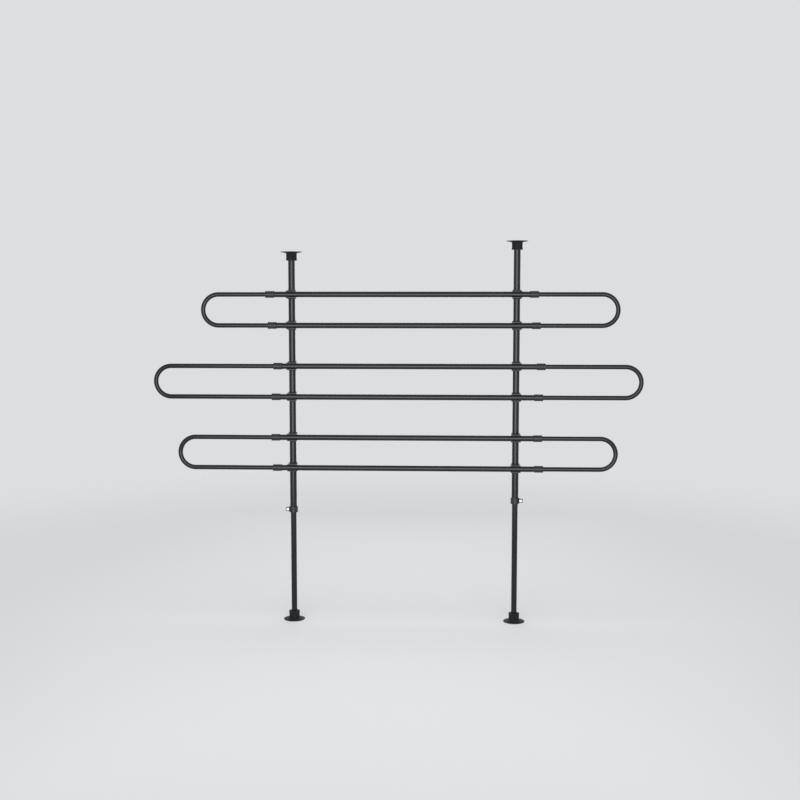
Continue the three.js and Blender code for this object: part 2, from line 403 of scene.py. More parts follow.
def turned(profile: Points, axis: Axis, steps: int = 48) -> Mesh:
    """Spins a profile once round an axis through the origin.

    Args:
        profile: Points of (place along the axis, radius) in millimetres. A profile whose first point
            is off the axis is closed.
        axis: The axis of the spin.
        steps: How many flats the shape has.

    Returns:
        A closed mesh with its faces outwards.
    """
    bm = bmesh.new()
    verts = [bm.verts.new(axis.lift(place, radius, 0)) for place, radius in profile]
    pairs = list(zip(verts, verts[1:]))
    if profile[0][1] > 0:
        pairs.append((verts[-1], verts[0]))
    edges = [bm.edges.new(pair) for pair in pairs]
    bmesh.ops.spin(bm, geom=verts + edges, cent=(0, 0, 0), axis=axis.lift(1, 0, 0).normalized(),
                   angle=2 * math.pi, steps=steps, use_merge=True)
    bmesh.ops.remove_doubles(bm, verts=bm.verts[:], dist=WELD)
    bmesh.ops.recalc_face_normals(bm, faces=bm.faces[:])
    return bm


def rod(radius: float, low: float, high: float, axis: Axis, steps: int = 48) -> Mesh:
    """A plain rod along an axis between two places."""
    return turned([(low, 0), (low, radius), (high, radius), (high, 0)], axis, steps)


def flared_hole(radius: float, low: float, high: float, flare: float, axis: Axis,
                steps: int = 48) -> Mesh:
    """The cutter of a hole through a wall, whose two mouths are chamfered.

    Args:
        radius: The hole's radius.
        low: One face of the wall along the axis.
        high: The other face.
        flare: The size of the chamfers.
        axis: The hole's axis.
        steps: How many flats the hole has.

    Returns:
        The cutter, which runs past both faces.
    """
    wide = radius + flare + PAST_MM
    return turned([
        (low - PAST_MM, 0), (low - PAST_MM, wide), (low + flare, radius), (high - flare, radius),
        (high + PAST_MM, wide), (high + PAST_MM, 0)], axis, steps)


def plate(outline: Points, axis: Axis, low: float, high: float) -> Mesh:
    """A plate of an outline, square to an axis.

    Args:
        outline: Points across the axis in cyclic order, such as (y, z) where the axis is X.
        axis: The axis that the plate's thickness lies along.
        low: Where the plate starts along the axis.
        high: Where it ends.

    Returns:
        A closed mesh with its faces outwards.
    """
    bm = bmesh.new()
    face = bm.faces.new([bm.verts.new(axis.lift(low, first, second)) for first, second in outline])
    pulled = bmesh.ops.extrude_face_region(bm, geom=[face], use_keep_orig=True)["geom"]
    bmesh.ops.translate(bm, verts=[item for item in pulled if isinstance(item, bmesh.types.BMVert)],
                        vec=axis.lift(high - low, 0, 0))
    bmesh.ops.recalc_face_normals(bm, faces=bm.faces[:])
    return bm


def rectangle(low: tuple[float, float], high: tuple[float, float]) -> Points:
    """The corners of an upright rectangle, in order."""
    return [low, (high[0], low[1]), high, (low[0], high[1])]


def eased(bm: Mesh, width_mm: float, segments: int = 3, sharper_than: float = 25.0) -> Mesh:
    """Rounds the edges of a mesh.

    Args:
        bm: The mesh, which is changed.
        width_mm: How far the rounding reaches from each edge.
        segments: How many flats it has.
        sharper_than: The angle in degrees over which two faces' edge is rounded.

    Returns:
        The same mesh.
    """
    limit = math.radians(sharper_than)
    edges = [edge for edge in bm.edges if edge.is_manifold and edge.calc_face_angle() > limit]
    bmesh.ops.bevel(bm, geom=edges, offset=width_mm * MM, offset_type="OFFSET", segments=segments,
                    profile=0.5, affect="EDGES", clamp_overlap=True, material=-1)
    return bm


def moved(bm: Mesh, x_mm: float = 0, y_mm: float = 0, z_mm: float = 0) -> Mesh:
    """Moves a mesh by so many millimetres."""
    bmesh.ops.translate(bm, verts=bm.verts[:], vec=Vector((x_mm, y_mm, z_mm)) * MM)
    return bm


def add_object(name: str, data: Mesh | bpy.types.ID) -> bpy.types.Object:
    """Adds an object to the scene.

    Args:
        name: The object's name.
        data: Its mesh, which is freed, or its lamp or camera.

    Returns:
        The new object.
    """
    if isinstance(data, Mesh):
        mesh = bpy.data.meshes.new(name)
        data.to_mesh(mesh)
        data.free()
        data = mesh
    added = bpy.data.objects.new(name, data)
    bpy.context.scene.collection.objects.link(added)
    return added


def carved(base: Mesh, steps: Iterable[tuple[Meet, Mesh]]) -> Mesh:
    """Joins and cuts solids in order.

    Args:
        base: The solid to start from.
        steps: How each further solid meets it.

    Returns:
        The result. The meshes given are freed.
    """
    blanks = [add_object("blank", base)]
    for meet, tool in steps:
        blanks.append(add_object("blank", tool))
        step = blanks[0].modifiers.new(meet.name, "BOOLEAN")
        step.operation, step.solver, step.object = meet.value, "EXACT", blanks[-1]
    shown = blanks[0].evaluated_get(bpy.context.evaluated_depsgraph_get())
    result = bmesh.new()
    result.from_mesh(shown.to_mesh())
    shown.to_mesh_clear()
    for blank in blanks:
        mesh = blank.data
        bpy.data.objects.remove(blank)
        bpy.data.meshes.remove(mesh)
    bmesh.ops.remove_doubles(result, verts=result.verts[:], dist=CUT_WELD)
    return result


def corner_radius(flats_mm: float) -> float:
    """From the middle of a hexagon to its corners, in millimetres."""
    return flats_mm / 2 / math.cos(math.pi / 6)


def hex_rod(flats_mm: float, low: float, high: float, axis: Axis) -> Mesh:
    """A hexagon rod along an axis, that wide across its flats."""
    return rod(corner_radius(flats_mm), low, high, axis, steps=6)


def hex_nut(axis: Axis) -> Mesh:
    """An M5 hexagon nut with chamfered corners and bore.

    Args:
        axis: The axis that it is turned about.

    Returns:
        The nut, which stands on the origin.
    """
    corner, chamfer = corner_radius(NUT_FLATS_MM) + CLEAR_MM, 0.5
    dome = turned([
        (0, 0), (0, NUT_FLATS_MM / 2), (chamfer, corner), (NUT_MM - chamfer, corner),
        (NUT_MM, NUT_FLATS_MM / 2), (NUT_MM, 0)], axis)
    return carved(hex_rod(NUT_FLATS_MM, 0, NUT_MM, axis), [
        (Meet.KEEP_INSIDE, dome),
        (Meet.CUT, flared_hole(SHANK_MM + HAIR_MM, 0, NUT_MM, chamfer, axis, HOLE_FLATS))])


def thread(tip: float, start: float, pitch: float = 0.8) -> list[tuple[float, float]]:
    """The profile of a threaded M5 tail, from its chamfered tip to where the plain shank starts.

    Args:
        tip: Where the tail ends.
        start: Where the thread starts.
        pitch: From crest to crest.

    Returns:
        Points of (place, radius), the one at the tip first.
    """
    way = math.copysign(1, start - tip)
    root = SHANK_MM - 0.6 * pitch
    root_end, crest_start, crest_end = 0.2 * pitch, 0.55 * pitch, 0.7 * pitch
    tip_chamfer = 0.2
    points = [(tip, 0), (tip, root - tip_chamfer)]
    for turn in range(int(abs(start - tip) / pitch)):
        near = tip + way * turn * pitch
        points += [(near + way * root_end, root), (near + way * crest_start, SHANK_MM),
                   (near + way * crest_end, SHANK_MM)]
    return [*points, (start, SHANK_MM)]


def add_piece(name: str, shape: Mesh, place: Matrix, finish: Finish, node: str,
              stands_for: bool = True) -> None:
    """Makes a finished piece that rides with a CAD node.

    Args:
        name: The piece's name.
        shape: Its mesh, of which a copy is placed.
        place: Its place in the frame, which may mirror it.
        finish: What it is finished in.
        node: The CAD node whose body it rides on.
        stands_for: Whether the piece replaces that node.
    """
    bm = shape.copy()
    bmesh.ops.transform(bm, matrix=place, verts=bm.verts[:])
    if place.determinant() < 0:
        bmesh.ops.reverse_faces(bm, faces=bm.faces[:])
    piece = add_object(name, bm)
    mesh = piece.data
    mesh.polygons.foreach_set("use_smooth", [True] * len(mesh.polygons))
    mesh.set_sharp_from_angle(angle=SHARP_ANGLE)
    mesh.materials.append(finish.material)
    piece.modifiers.new("even_shading", "WEIGHTED_NORMAL").keep_sharp = True
    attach(piece, BODY_OF[node])
    if stands_for:
        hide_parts(node)
    LOG.info("%s: %d faces, %s", name, len(mesh.polygons), finish.name)


@dataclass(frozen=True)
class NodeBox:
    """The box of a CAD node, in millimetres."""

    node: str

    @cached_property
    def low(self) -> Vector:
        """The lowest corner."""
        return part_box(self.node)[0] / MM

    @cached_property
    def high(self) -> Vector:
        """The highest corner."""
        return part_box(self.node)[1] / MM

    @property
    def middle(self) -> Vector:
        """The middle of the box."""
        return (self.low + self.high) / 2

    @property
    def size(self) -> Vector:
        """The box's three sides."""
        return self.high - self.low


def at(x_mm: float, y_mm: float, z_mm: float) -> Matrix:
    """The move to a place in the frame, in millimetres."""
    return Matrix.Translation(Vector((x_mm, y_mm, z_mm)) * MM)


@dataclass
class StraightTube:
    """A pole's tube or a loop's bar, with its cut ends deburred.

    Attributes:
        node: The CAD node that it stands for.
        axis: The axis that it lies along.
        finish: Its coat.
        wall_mm: The thickness of its wall.
        rim_mm: The rounding of its cut ends.
    """

    node: str
    axis: Axis
    finish: Finish
    wall_mm: float = 1.2
    rim_mm: float = 0.25

    def build(self) -> None:
        """Makes the tube."""
        box = NodeBox(self.node)
        half = box.size[self.axis.value] / 2
        outer = box.size[(self.axis.value + 1) % 3] / 2
        inner = outer - self.wall_mm
        bm = turned([(-half, outer), (half, outer), (half, inner), (-half, inner)], self.axis, TUBE_FLATS)
        add_piece(f"{self.node}_tube", eased(bm, self.rim_mm), at(*box.middle), self.finish, self.node)


@dataclass
class Foot:
    """A rubber foot: a thin disc that flexes onto the floor or roof, and a socket for the pole.

    Attributes:
        node: The CAD node that it stands for.
        pole: The CAD node of the tube in its socket.
        upside_down: Whether it is a roof foot.
        disc_mm: The thickness of the disc under the pole.
        edge_mm: The thickness of the disc at its edge.
        socket_mm: The outer radius of the socket.
        bead_mm: How far the bead at the socket's mouth stands out from it.
        bead_height_mm: The height of that bead.
        fillet_mm: The radius between disc and socket.
        grooves: How many rings are sunk in the contact face.
        groove_mm: The depth of those rings.
        pitch_mm: From ring to ring.
    """

    node: str
    pole: str
    upside_down: bool
    disc_mm: float = 3.5
    edge_mm: float = 1.2
    socket_mm: float = 15.5
    bead_mm: float = 0.7
    bead_height_mm: float = 3.2
    fillet_mm: float = 3.0
    grooves: int = 3
    groove_mm: float = 0.5
    pitch_mm: float = 6.0

    @property
    def underside(self) -> list[tuple[float, float]]:
        """The contact face with its sunk rings."""
        points = [(0.0, 0.0)]
        for ring in range(self.grooves):
            near = self.socket_mm + (ring - 1) * self.pitch_mm
            depth = self.groove_mm
            points += [(0, near), (depth, near + depth), (depth, near + 3 * depth), (0, near + 4 * depth)]
        return points

    def build(self) -> None:
        """Makes the foot standing on the origin and puts it in its place."""
        box = NodeBox(self.node)
        radius, height = box.size.x / 2, box.size.z
        bore = NodeBox(self.pole).size.x / 2 + FIT_MM
        neck = self.socket_mm - self.bead_mm
        root = self.disc_mm + self.fillet_mm
        edge_chamfer, lip_round, mouth_chamfer = 0.4, 1.1, 0.8
        # the soft corner on top of the disc's edge, and where its slope ends: below its full thickness
        # and beyond its fillet
        step_up, step_in, slope_below, slope_beyond = 0.25, 0.6, 0.5, 2
        profile = [
            *self.underside, (0, radius - edge_chamfer), (edge_chamfer, radius), (self.edge_mm, radius),
            (self.edge_mm + step_up, radius - step_in),
            (self.disc_mm - slope_below, neck + self.fillet_mm + slope_beyond),
            *[(root - along, neck + self.fillet_mm - out)
              for out, along in arc((0, 0), self.fillet_mm, 90, 0, steps=5)],
            (height - self.bead_height_mm - self.bead_mm, neck),
            (height - self.bead_height_mm, self.socket_mm),
            *[(height + up, self.socket_mm + out)
              for up, out in arc((-lip_round, -lip_round), lip_round, 90, 0, steps=4)],
            (height, bore + mouth_chamfer), (height - mouth_chamfer, bore), (self.disc_mm, bore),
            (self.disc_mm, 0),
        ]
        turn = Matrix.Rotation(math.pi if self.upside_down else 0, 4, "X")
        base = box.high.z if self.upside_down else box.low.z
        place = at(box.middle.x, box.middle.y, base) @ turn
        add_piece(f"{self.node}_rubber", turned(profile, Axis.Z, HEAD_FLATS), place, RUBBER, self.node)


@dataclass
class Lock:
    """The split collar, bolt and captive nut that hold a telescopic pole at its length.

    The shapes are made for the right side, with the outer pole's lower end at the origin.

    Attributes:
        side: The side of the guard.
        wall_mm: The wall of the collar's ring.
        grip_mm: The length of the ring on the outer pole.
        slit_mm: The width of the slit through ring and ear.
        ear_mm: The height and the depth of the ear.
        ear_corner_mm: The rounding of the ear's outer corners.
        edge_mm: The rounding of all moulded edges.
        head_mm: The height of the bolt's head.
        pocket_mm: How deep the nut is sunk in the ear.
    """

    side: Side
    wall_mm: float = 2.4
    grip_mm: float = 10.0
    slit_mm: float = 1.6
    ear_mm: tuple[float, float] = (11.0, 13.0)
    ear_corner_mm: float = 3.0
    edge_mm: float = 0.7
    head_mm: float = 3.5
    pocket_mm: float = 1.8

    def __post_init__(self) -> None:
        """Works out where the collar stands, where its ring ends and where ear and bolt are."""
        self.pole, self.leg, self.collar, self.bolt = [
            NodeBox(f"{self.side.value}_{part}")
            for part in ("outer_pole", "inner_pole", "lock_collar", "lock_bolt")]
        self.place = at(self.pole.middle.x, self.pole.middle.y, self.pole.low.z) @ self.side.mirror
        self.bottom = self.grip_mm - self.collar.size.z
        self.waist = (self.bottom + self.grip_mm) / 2
        self.bolt_axis = abs(self.bolt.middle.x - self.pole.middle.x)

    def build(self) -> None:
        """Makes the collar, its bolt and its nut."""
        self.build_collar()
        self.build_bolt()
        self.build_nut()

    def build_collar(self) -> None:
        """Makes the ring with its two-part ear."""
        pole, leg = self.pole.size.x / 2 + FIT_MM, self.leg.size.x / 2 + FIT_MM
        outside = pole + self.wall_mm
        reach = self.collar.size.x - outside
        height, depth = self.ear_mm
        ring = eased(rod(outside, self.bottom, self.grip_mm, Axis.Z, RING_FLATS), self.edge_mm)
        slit = plate(rectangle((0, -self.slit_mm / 2), (reach, self.slit_mm / 2)), Axis.Z,
                     self.bottom - PAST_MM, self.grip_mm + PAST_MM)
        steps = [(Meet.CUT, slit)]
        for way in (-1, 1):
            # each half of the ear stands a hair back from the slit, so that their faces don't meet
            inner, outer = way * (self.slit_mm / 2 + HAIR_MM), way * depth / 2
            corner = self.ear_corner_mm
            outline = [(0, inner), (0, outer),
                       *arc((reach - corner, outer - way * corner), corner, way * 90, 0),
                       (reach, inner)]
            half = plate(outline, Axis.Z, self.waist - height / 2, self.waist + height / 2)
            steps.append((Meet.JOIN, eased(half, self.edge_mm)))
        low, high = self.bottom - PAST_MM, self.grip_mm + PAST_MM
        throat = turned([(low, 0), (low, leg + PAST_MM + MOUTH_MM), (self.bottom + MOUTH_MM, leg),
                         (PAST_MM, leg), (PAST_MM, 0)], Axis.Z, TUBE_FLATS)
        bore = turned([(-FIT_MM, 0), (-FIT_MM, pole), (self.grip_mm - MOUTH_MM, pole),
                       (high, pole + PAST_MM + MOUTH_MM), (high, 0)], Axis.Z, TUBE_FLATS)
        hole = flared_hole(SHANK_MM + FIT_MM, -depth / 2, depth / 2, FLARE_MM, Axis.Y, HOLE_FLATS)
        pocket = hex_rod(NUT_FLATS_MM + FIT_MM, depth / 2 - self.pocket_mm, depth / 2 + PAST_MM, Axis.Y)
        steps += [(Meet.CUT, bore), (Meet.CUT, throat),
                  (Meet.CUT, moved(hole, self.bolt_axis, 0, self.waist)),
                  (Meet.CUT, moved(pocket, self.bolt_axis, 0, self.waist))]
        add_piece(f"{self.collar.node}_nylon", carved(ring, steps), self.place, NYLON, self.collar.node)

    def build_bolt(self) -> None:
        """Makes the hexagon bolt with a domed head, a washer face and a threaded tail."""
        half = self.bolt.size.y / 2
        flats = min(self.bolt.size.x, self.bolt.size.z)
        corner = corner_radius(flats) + CLEAR_MM
        under = self.head_mm - half
        # from the crown down, and in from the flats
        crown_in, shoulder_down, shoulder_in, chamfer_down = 1.4, 0.3, 0.5, 1.0
        # from the seat up
        chamfer_up, face = 0.6, under - 0.3
        dome = turned([
            (-half, 0), (-half, flats / 2 - crown_in), (-half + shoulder_down, flats / 2 - shoulder_in),
            (-half + chamfer_down, corner), (under - chamfer_up, corner), (face, flats / 2), (face, 0)],
            Axis.Y)
        sunk, plain_end, threaded_mm = 0.2, under - 1, 9
        washer_face = rod(flats / 2 - sunk, face - sunk, under + FIT_MM - HAIR_MM, Axis.Y)
        tail = turned([*thread(half, half - threaded_mm), (plain_end, SHANK_MM), (plain_end, 0)],
                      Axis.Y, HOLE_FLATS)
        shape = carved(hex_rod(flats, -half, under, Axis.Y), [
            (Meet.KEEP_INSIDE, dome), (Meet.JOIN, washer_face), (Meet.JOIN, tail)])
        add_piece(f"{self.bolt.node}_steel", shape, at(*self.bolt.middle), ZINC, self.bolt.node)

    def build_nut(self) -> None:
        """Makes the nut in its pocket at the back of the ear."""
        seat = self.ear_mm[1] / 2 - self.pocket_mm + HAIR_MM
        place = self.place @ at(self.bolt_axis, seat, self.waist)
        add_piece(f"{self.side.value}_lock_nut", hex_nut(Axis.Y), place, ZINC, self.collar.node,
                  stands_for=False)


@dataclass
class Pole:
    """A telescopic pole with its two feet and its lock.

    Attributes:
        side: The side of the guard.
    """

    side: Side

    def build(self) -> None:
        """Makes the pole from its floor foot up."""
        name = self.side.value
        Foot(f"{name}_floor_foot", f"{name}_inner_pole", upside_down=False).build()
        StraightTube(f"{name}_inner_pole", Axis.Z, POLE_COAT).build()
        Lock(self.side).build()
        StraightTube(f"{name}_outer_pole", Axis.Z, POLE_COAT).build()
        Foot(f"{name}_roof_foot", f"{name}_outer_pole", upside_down=True).build()


@dataclass
class LoopEnd:
    """A bent tube whose two legs slide in the bars of a loop.

    Attributes:
        loop: The loop that it belongs to.
        side: Its side.
        wall_mm: The wall of the tube.
        sides: How many flats its section has.
        bend_steps: How many steps its bend has.
        rim_mm: The rounding of its cut ends.
    """

    loop: LoopName
    side: Side
    wall_mm: float = 1.0
    sides: int = 40
    bend_steps: int = 40
    rim_mm: float = 0.25

    def sweep(self, bm: Mesh, radius: float, bend: float, leg: float) -> list[list[Any]]:
        """Sweeps a ring along the upper leg, round the bend and back along the lower leg.

        Args:
            bm: The mesh to add to.
            radius: The ring's radius.
            bend: The radius of the bend.
            leg: The length of each leg.

        Returns:
            The edges of the first ring and of the last.
        """
        start = at(-leg, 0, bend) @ Matrix.Rotation(math.pi / 2, 4, "Y")
        ring = bmesh.ops.create_circle(bm, cap_ends=False, segments=self.sides, radius=radius * MM,
                                       matrix=start)["verts"]
        first = list({edge for vert in ring for edge in vert.link_edges})

        def pull(edges: list[Any], along: float) -> tuple[list[Any], list[Any]]:
            """Pulls a ring along X.

            Args:
                edges: The ring's edges.
                along: How far, in millimetres.

            Returns:
                The new ring's corners and its edges.
            """
            new = bmesh.ops.extrude_edge_only(bm, edges=edges)["geom"]
            verts = [item for item in new if isinstance(item, bmesh.types.BMVert)]
            bmesh.ops.translate(bm, verts=verts, vec=Vector((along, 0, 0)) * MM)
            new_verts = set(verts)
            return verts, [item for item in new if isinstance(item, bmesh.types.BMEdge)
                           and set(item.verts) <= new_verts]

        verts, edges = pull(first, leg)
        turn = bmesh.ops.spin(bm, geom=verts + edges, cent=(0, 0, 0), axis=(0, 1, 0), angle=math.pi,
                              steps=self.bend_steps, use_merge=False)["geom_last"]
        last = [item for item in turn if isinstance(item, bmesh.types.BMEdge)]
        return [first, pull(last, -leg)[1]]

    def build(self) -> None:
        """Makes the end, with its bend's middle at the origin, and puts it in its place."""
        box = NodeBox(f"{self.loop.value}_{self.side.value}_end")
        radius = box.size.y / 2
        bend = box.size.z / 2 - radius
        leg = box.size.x - bend - radius
        bm = bmesh.new()
        outside = self.sweep(bm, radius, bend, leg)
        inside = self.sweep(bm, radius - self.wall_mm, bend, leg)
        for outer, inner in zip(outside, inside):
            bmesh.ops.bridge_loops(bm, edges=outer + inner)
        bmesh.ops.remove_doubles(bm, verts=bm.verts[:], dist=WELD)
        bmesh.ops.recalc_face_normals(bm, faces=bm.faces[:])
        tip = box.high.x if self.side is Side.RIGHT else box.low.x
        centre = at(tip - self.side.outward * (bend + radius), box.middle.y, box.middle.z)
        add_piece(f"{box.node}_tube", eased(bm, self.rim_mm), centre @ self.side.mirror, END_COAT, box.node)


@dataclass
class EndCollar:
    """The moulded collar on the end of a bar, which guides the sliding leg.

    Attributes:
        ring_mm: The width of each raised ring round it.
        raise_mm: How far the rings stand out.
        gaps: How many gaps there are between the rings. The outer two rings are the collar's ends.
        chamfer_mm: The chamfer at both mouths.
        edge_mm: The rounding of all edges.
    """

    ring_mm: float = 2.2
    raise_mm: float = 0.5
    gaps: int = 4
    chamfer_mm: float = 0.4
    edge_mm: float = 0.15

    @cached_property
    def shape(self) -> Mesh:
        """A collar for the right-hand end of a bar, whose end face is at the origin."""
        box = NodeBox("top_upper_right_collar")
        bar = NodeBox("top_upper_bar")
        leg = NodeBox("top_right_end").size.y / 2 + FIT_MM
        outside, bore = box.size.z / 2, bar.size.z / 2 + FIT_MM
        back, mouth = box.low.x - bar.high.x, box.high.x - bar.high.x
        sleeve, slope = outside - self.raise_mm, self.raise_mm
        pitch = (mouth - back - self.ring_mm) / self.gaps
        rings = []
        for low in (back + ring * pitch for ring in range(self.gaps + 1)):
            high = low + self.ring_mm
            rings += [(low, sleeve), (low + slope, outside), (high - slope, outside), (high, sleeve)]
        chamfer = self.chamfer_mm
        return eased(turned([
            *rings, (mouth, leg + chamfer), (mouth - chamfer, leg), (FIT_MM, leg), (FIT_MM, bore),
            (back + chamfer, bore), (back, bore + chamfer)], Axis.X, TUBE_FLATS), self.edge_mm, segments=2)

    def build(self, loop: LoopName, level: Level, side: Side) -> None:
        """Places a collar on one end of one bar.

        Args:
            loop: The bar's loop.
            level: Which of its bars it is.
            side: The end of the bar.
        """
        node = f"{loop.value}_{level.value}_{side.value}_collar"
        bar = NodeBox(f"{loop.value}_{level.value}_bar")
        end = bar.high.x if side is Side.RIGHT else bar.low.x
        place = at(end, bar.middle.y, bar.middle.z) @ side.mirror
        add_piece(f"{node}_nylon", self.shape, place, NYLON, node)


@dataclass
class CrossClamp:
    """The moulded clamp at a crossing, with the cap screw and captive nut that pinch it on the pole.

    The shapes are made for the right side, with the pole through the origin and the bar in front.

    Attributes:
        wall_mm: The wall round the pole at mid height.
        neck_mm: The wall round the pole at both ends.
        shoulder_mm: The height of each tapered end.
        jaw_wall_mm: The jaw above and below the bar.
        lip_mm: The rounding of the jaw's lips, which lets the bar snap in.
        nose_mm: The rounding of the jaw's outer corners.
        ear_height_mm: The height of the two ears behind the pole.
        ear_thick_mm: The thickness of each ear.
        ear_corner_mm: The rounding of the ears' free corners.
        slit_mm: The gap between the ears.
        edge_mm: The rounding of all moulded edges.
        head_mm: The height of the screw's head.
        socket_mm: The screw's hexagon socket, across its flats and deep.
        knurl_mm: How deep the knurling round its head is.
        pocket_mm: How deep the nut is sunk in the ear.
    """

    wall_mm: float = 3.9
    neck_mm: float = 1.8
    shoulder_mm: float = 5.0
    jaw_wall_mm: float = 2.4
    lip_mm: float = 0.5
    nose_mm: float = 0.8
    ear_height_mm: float = 15.0
    ear_thick_mm: float = 6.5
    ear_corner_mm: float = 4.0
    slit_mm: float = 2.0
    edge_mm: float = 0.5
    head_mm: float = 5.0
    socket_mm: tuple[float, float] = (4.0, 2.6)
    knurl_mm: float = 0.22
    pocket_mm: float = 2.8

    def __post_init__(self) -> None:
        """Reads one crossing, which stands for all, and sets out its ears, screw and bar from the pole."""
        self.box, self.pole, self.bar, self.screw = [NodeBox(name) for name in (
            "top_upper_right_clamp", "right_outer_pole", "top_upper_bar", "top_upper_right_clamp_screw")]
        self.ear_face = self.slit_mm / 2 + self.ear_thick_mm
        self.screw_axis = self.screw.middle.y - self.pole.middle.y
        self.bar_axis = self.bar.middle.y - self.pole.middle.y

    @property
    def jaw_outline(self) -> Points:
        """The jaw from the side, with the bore that holds the bar and its rounded lips."""
        bore, axis = self.bar.size.z / 2 + FIT_MM, self.bar_axis
        face = self.box.low.y - self.pole.middle.y
        height = bore + self.jaw_wall_mm
        lip, nose = self.lip_mm, self.nose_mm
        # the lip's rounding touches both the face and the bore
        lip_y = face + lip - axis
        lip_z = math.sqrt((bore + lip) ** 2 - lip_y ** 2)
        toward = math.degrees(math.atan2(lip_z, lip_y))
        upper = [(0.0, height), *arc((face + nose, height - nose), nose, 90, 180, steps=5),
                 *arc((face + lip, lip_z), lip, 180, 180 + toward, steps=5)[:-1]]
        return [*upper, *arc((axis, 0), bore, toward, -toward, steps=36),
                *[(y, -z) for y, z in reversed(upper)]]

    @cached_property
    def shape(self) -> Mesh:
        """The clamp's moulding."""
        pole_bore, bar_bore = self.pole.size.x / 2 + FIT_MM, self.bar.size.z / 2 + FIT_MM
        half = self.box.size.z / 2
        shoulder = half - self.shoulder_mm
        outside, neck = pole_bore + self.wall_mm, pole_bore + self.neck_mm
        barrel = eased(turned([(-half, 0), (-half, neck), (-shoulder, outside), (shoulder, outside),
                               (half, neck), (half, 0)], Axis.Z, RING_FLATS), self.edge_mm, sharper_than=20)
        jaw_half = self.box.size.x / 2
        jaw = eased(plate(self.jaw_outline, Axis.X, -jaw_half, jaw_half), self.edge_mm, sharper_than=45)
        # the barrel is cut a little wider than the jaw's bore, so that their faces don't meet
        spare_mm = 0.2
        bar_room = moved(rod(bar_bore + spare_mm, -jaw_half, jaw_half, Axis.X), 0, self.bar_axis, 0)
        reach = self.box.high.y - self.pole.middle.y
        ear_z = self.ear_height_mm / 2
        slit = plate(rectangle((-self.slit_mm / 2, 0), (self.slit_mm / 2, reach)), Axis.Z,
                     -half - PAST_MM, half + PAST_MM)
        steps = [(Meet.CUT, bar_room), (Meet.CUT, slit), (Meet.JOIN, jaw)]
        corner = self.ear_corner_mm
        outline = [(0, -ear_z), *arc((reach - corner, corner - ear_z), corner, -90, 0),
                   *arc((reach - corner, ear_z - corner), corner, 0, 90), (0, ear_z)]
        # the ears stand a hair back from the slit, so that their faces don't meet
        near = self.slit_mm / 2 + HAIR_MM
        for low, high in ((near, self.ear_face), (-self.ear_face, -near)):
            steps.append((Meet.JOIN, eased(plate(outline, Axis.X, low, high), self.edge_mm)))
        hole = flared_hole(SHANK_MM + FIT_MM, -self.ear_face, self.ear_face, FLARE_MM, Axis.X, HOLE_FLATS)
        pocket = hex_rod(NUT_FLATS_MM + FIT_MM, -self.ear_face - PAST_MM,
                         self.pocket_mm - self.ear_face, Axis.X)
        steps += [(Meet.CUT, flared_hole(pole_bore, -half, half, MOUTH_MM, Axis.Z, TUBE_FLATS)),
                  (Meet.CUT, moved(hole, 0, self.screw_axis, 0)),
                  (Meet.CUT, moved(pocket, 0, self.screw_axis, 0))]
        return carved(barrel, steps)

    @cached_property
    def screw_shape(self) -> Mesh:
        """The socket cap screw, with its head outwards, about the pole's axis."""
        tip = self.screw.low.x - self.pole.middle.x
        top = self.screw.high.x - self.pole.middle.x
        under = top - self.head_mm
        head = self.screw.size.z / 2
        flats, deep = self.socket_mm
        threaded_mm, chamfer, lead = 8, 0.6, 0.35
        # the head is plain below its knurling and above it, where that rim takes in the chamfer
        low_rim, high_rim = 0.4, 0.9
        blank = turned([
            *thread(tip, tip + threaded_mm), (under - FIT_MM, SHANK_MM),
            (under - FIT_MM + HAIR_MM, head - low_rim), (under, head), (under + low_rim, head),
            (top - high_rim, head), (top - chamfer, head), (top, head - chamfer), (top, 0)],
            Axis.X, HEAD_FLATS)
        self.knurl(blank, head, under + low_rim, top - high_rim)
        socket = hex_rod(flats, top - deep, top + PAST_MM, Axis.X)
        lead_in = turned([(top - lead, 0), (top - lead, flats / 2),
                          (top + PAST_MM, flats / 2 + PAST_MM + lead), (top + PAST_MM, 0)], Axis.X)
        shape = carved(blank, [(Meet.CUT, socket), (Meet.CUT, lead_in)])
        return moved(shape, 0, self.screw_axis, 0)

    def knurl(self, blank: Mesh, head: float, low: float, high: float) -> None:
        """Draws in every second corner round the head's side for its knurling.

        Args:
            blank: The screw's mesh.
            head: The radius of the head.
            low: Where the knurling starts along X.
            high: Where it ends.
        """
        pitch, slack_mm = 2 * math.pi / HEAD_FLATS, 0.1
        for vert in blank.verts:
            along, out = vert.co.x / MM, vert.co.yz.length / MM
            column = round(math.atan2(vert.co.z, vert.co.y) / pitch)
            if column % 2 and out > head - slack_mm and low - slack_mm < along < high + slack_mm:
                vert.co.yz *= (head - self.knurl_mm) / head

    @cached_property
    def nut_shape(self) -> Mesh:
        """The nut in its pocket in the inner ear."""
        seat = self.pocket_mm - self.ear_face - HAIR_MM
        return moved(hex_nut(Axis.X), seat - NUT_MM, self.screw_axis, 0)

    def build(self, loop: LoopName, level: Level, side: Side) -> None:
        """Places a clamp, its screw and its nut at one crossing.

        Args:
            loop: The bar's loop.
            level: Which of its bars it is.
            side: The side of the pole.
        """
        node = f"{loop.value}_{level.value}_{side.value}_clamp"
        pole = NodeBox(f"{side.value}_outer_pole").middle
        bar = NodeBox(f"{loop.value}_{level.value}_bar").middle
        place = at(pole.x, pole.y, bar.z) @ side.mirror
        add_piece(f"{node}_nylon", self.shape, place, NYLON, node)
        add_piece(f"{node}_screw_steel", self.screw_shape, place, ZINC, f"{node}_screw")
        add_piece(f"{node}_nut", self.nut_shape, place, ZINC, node, stands_for=False)


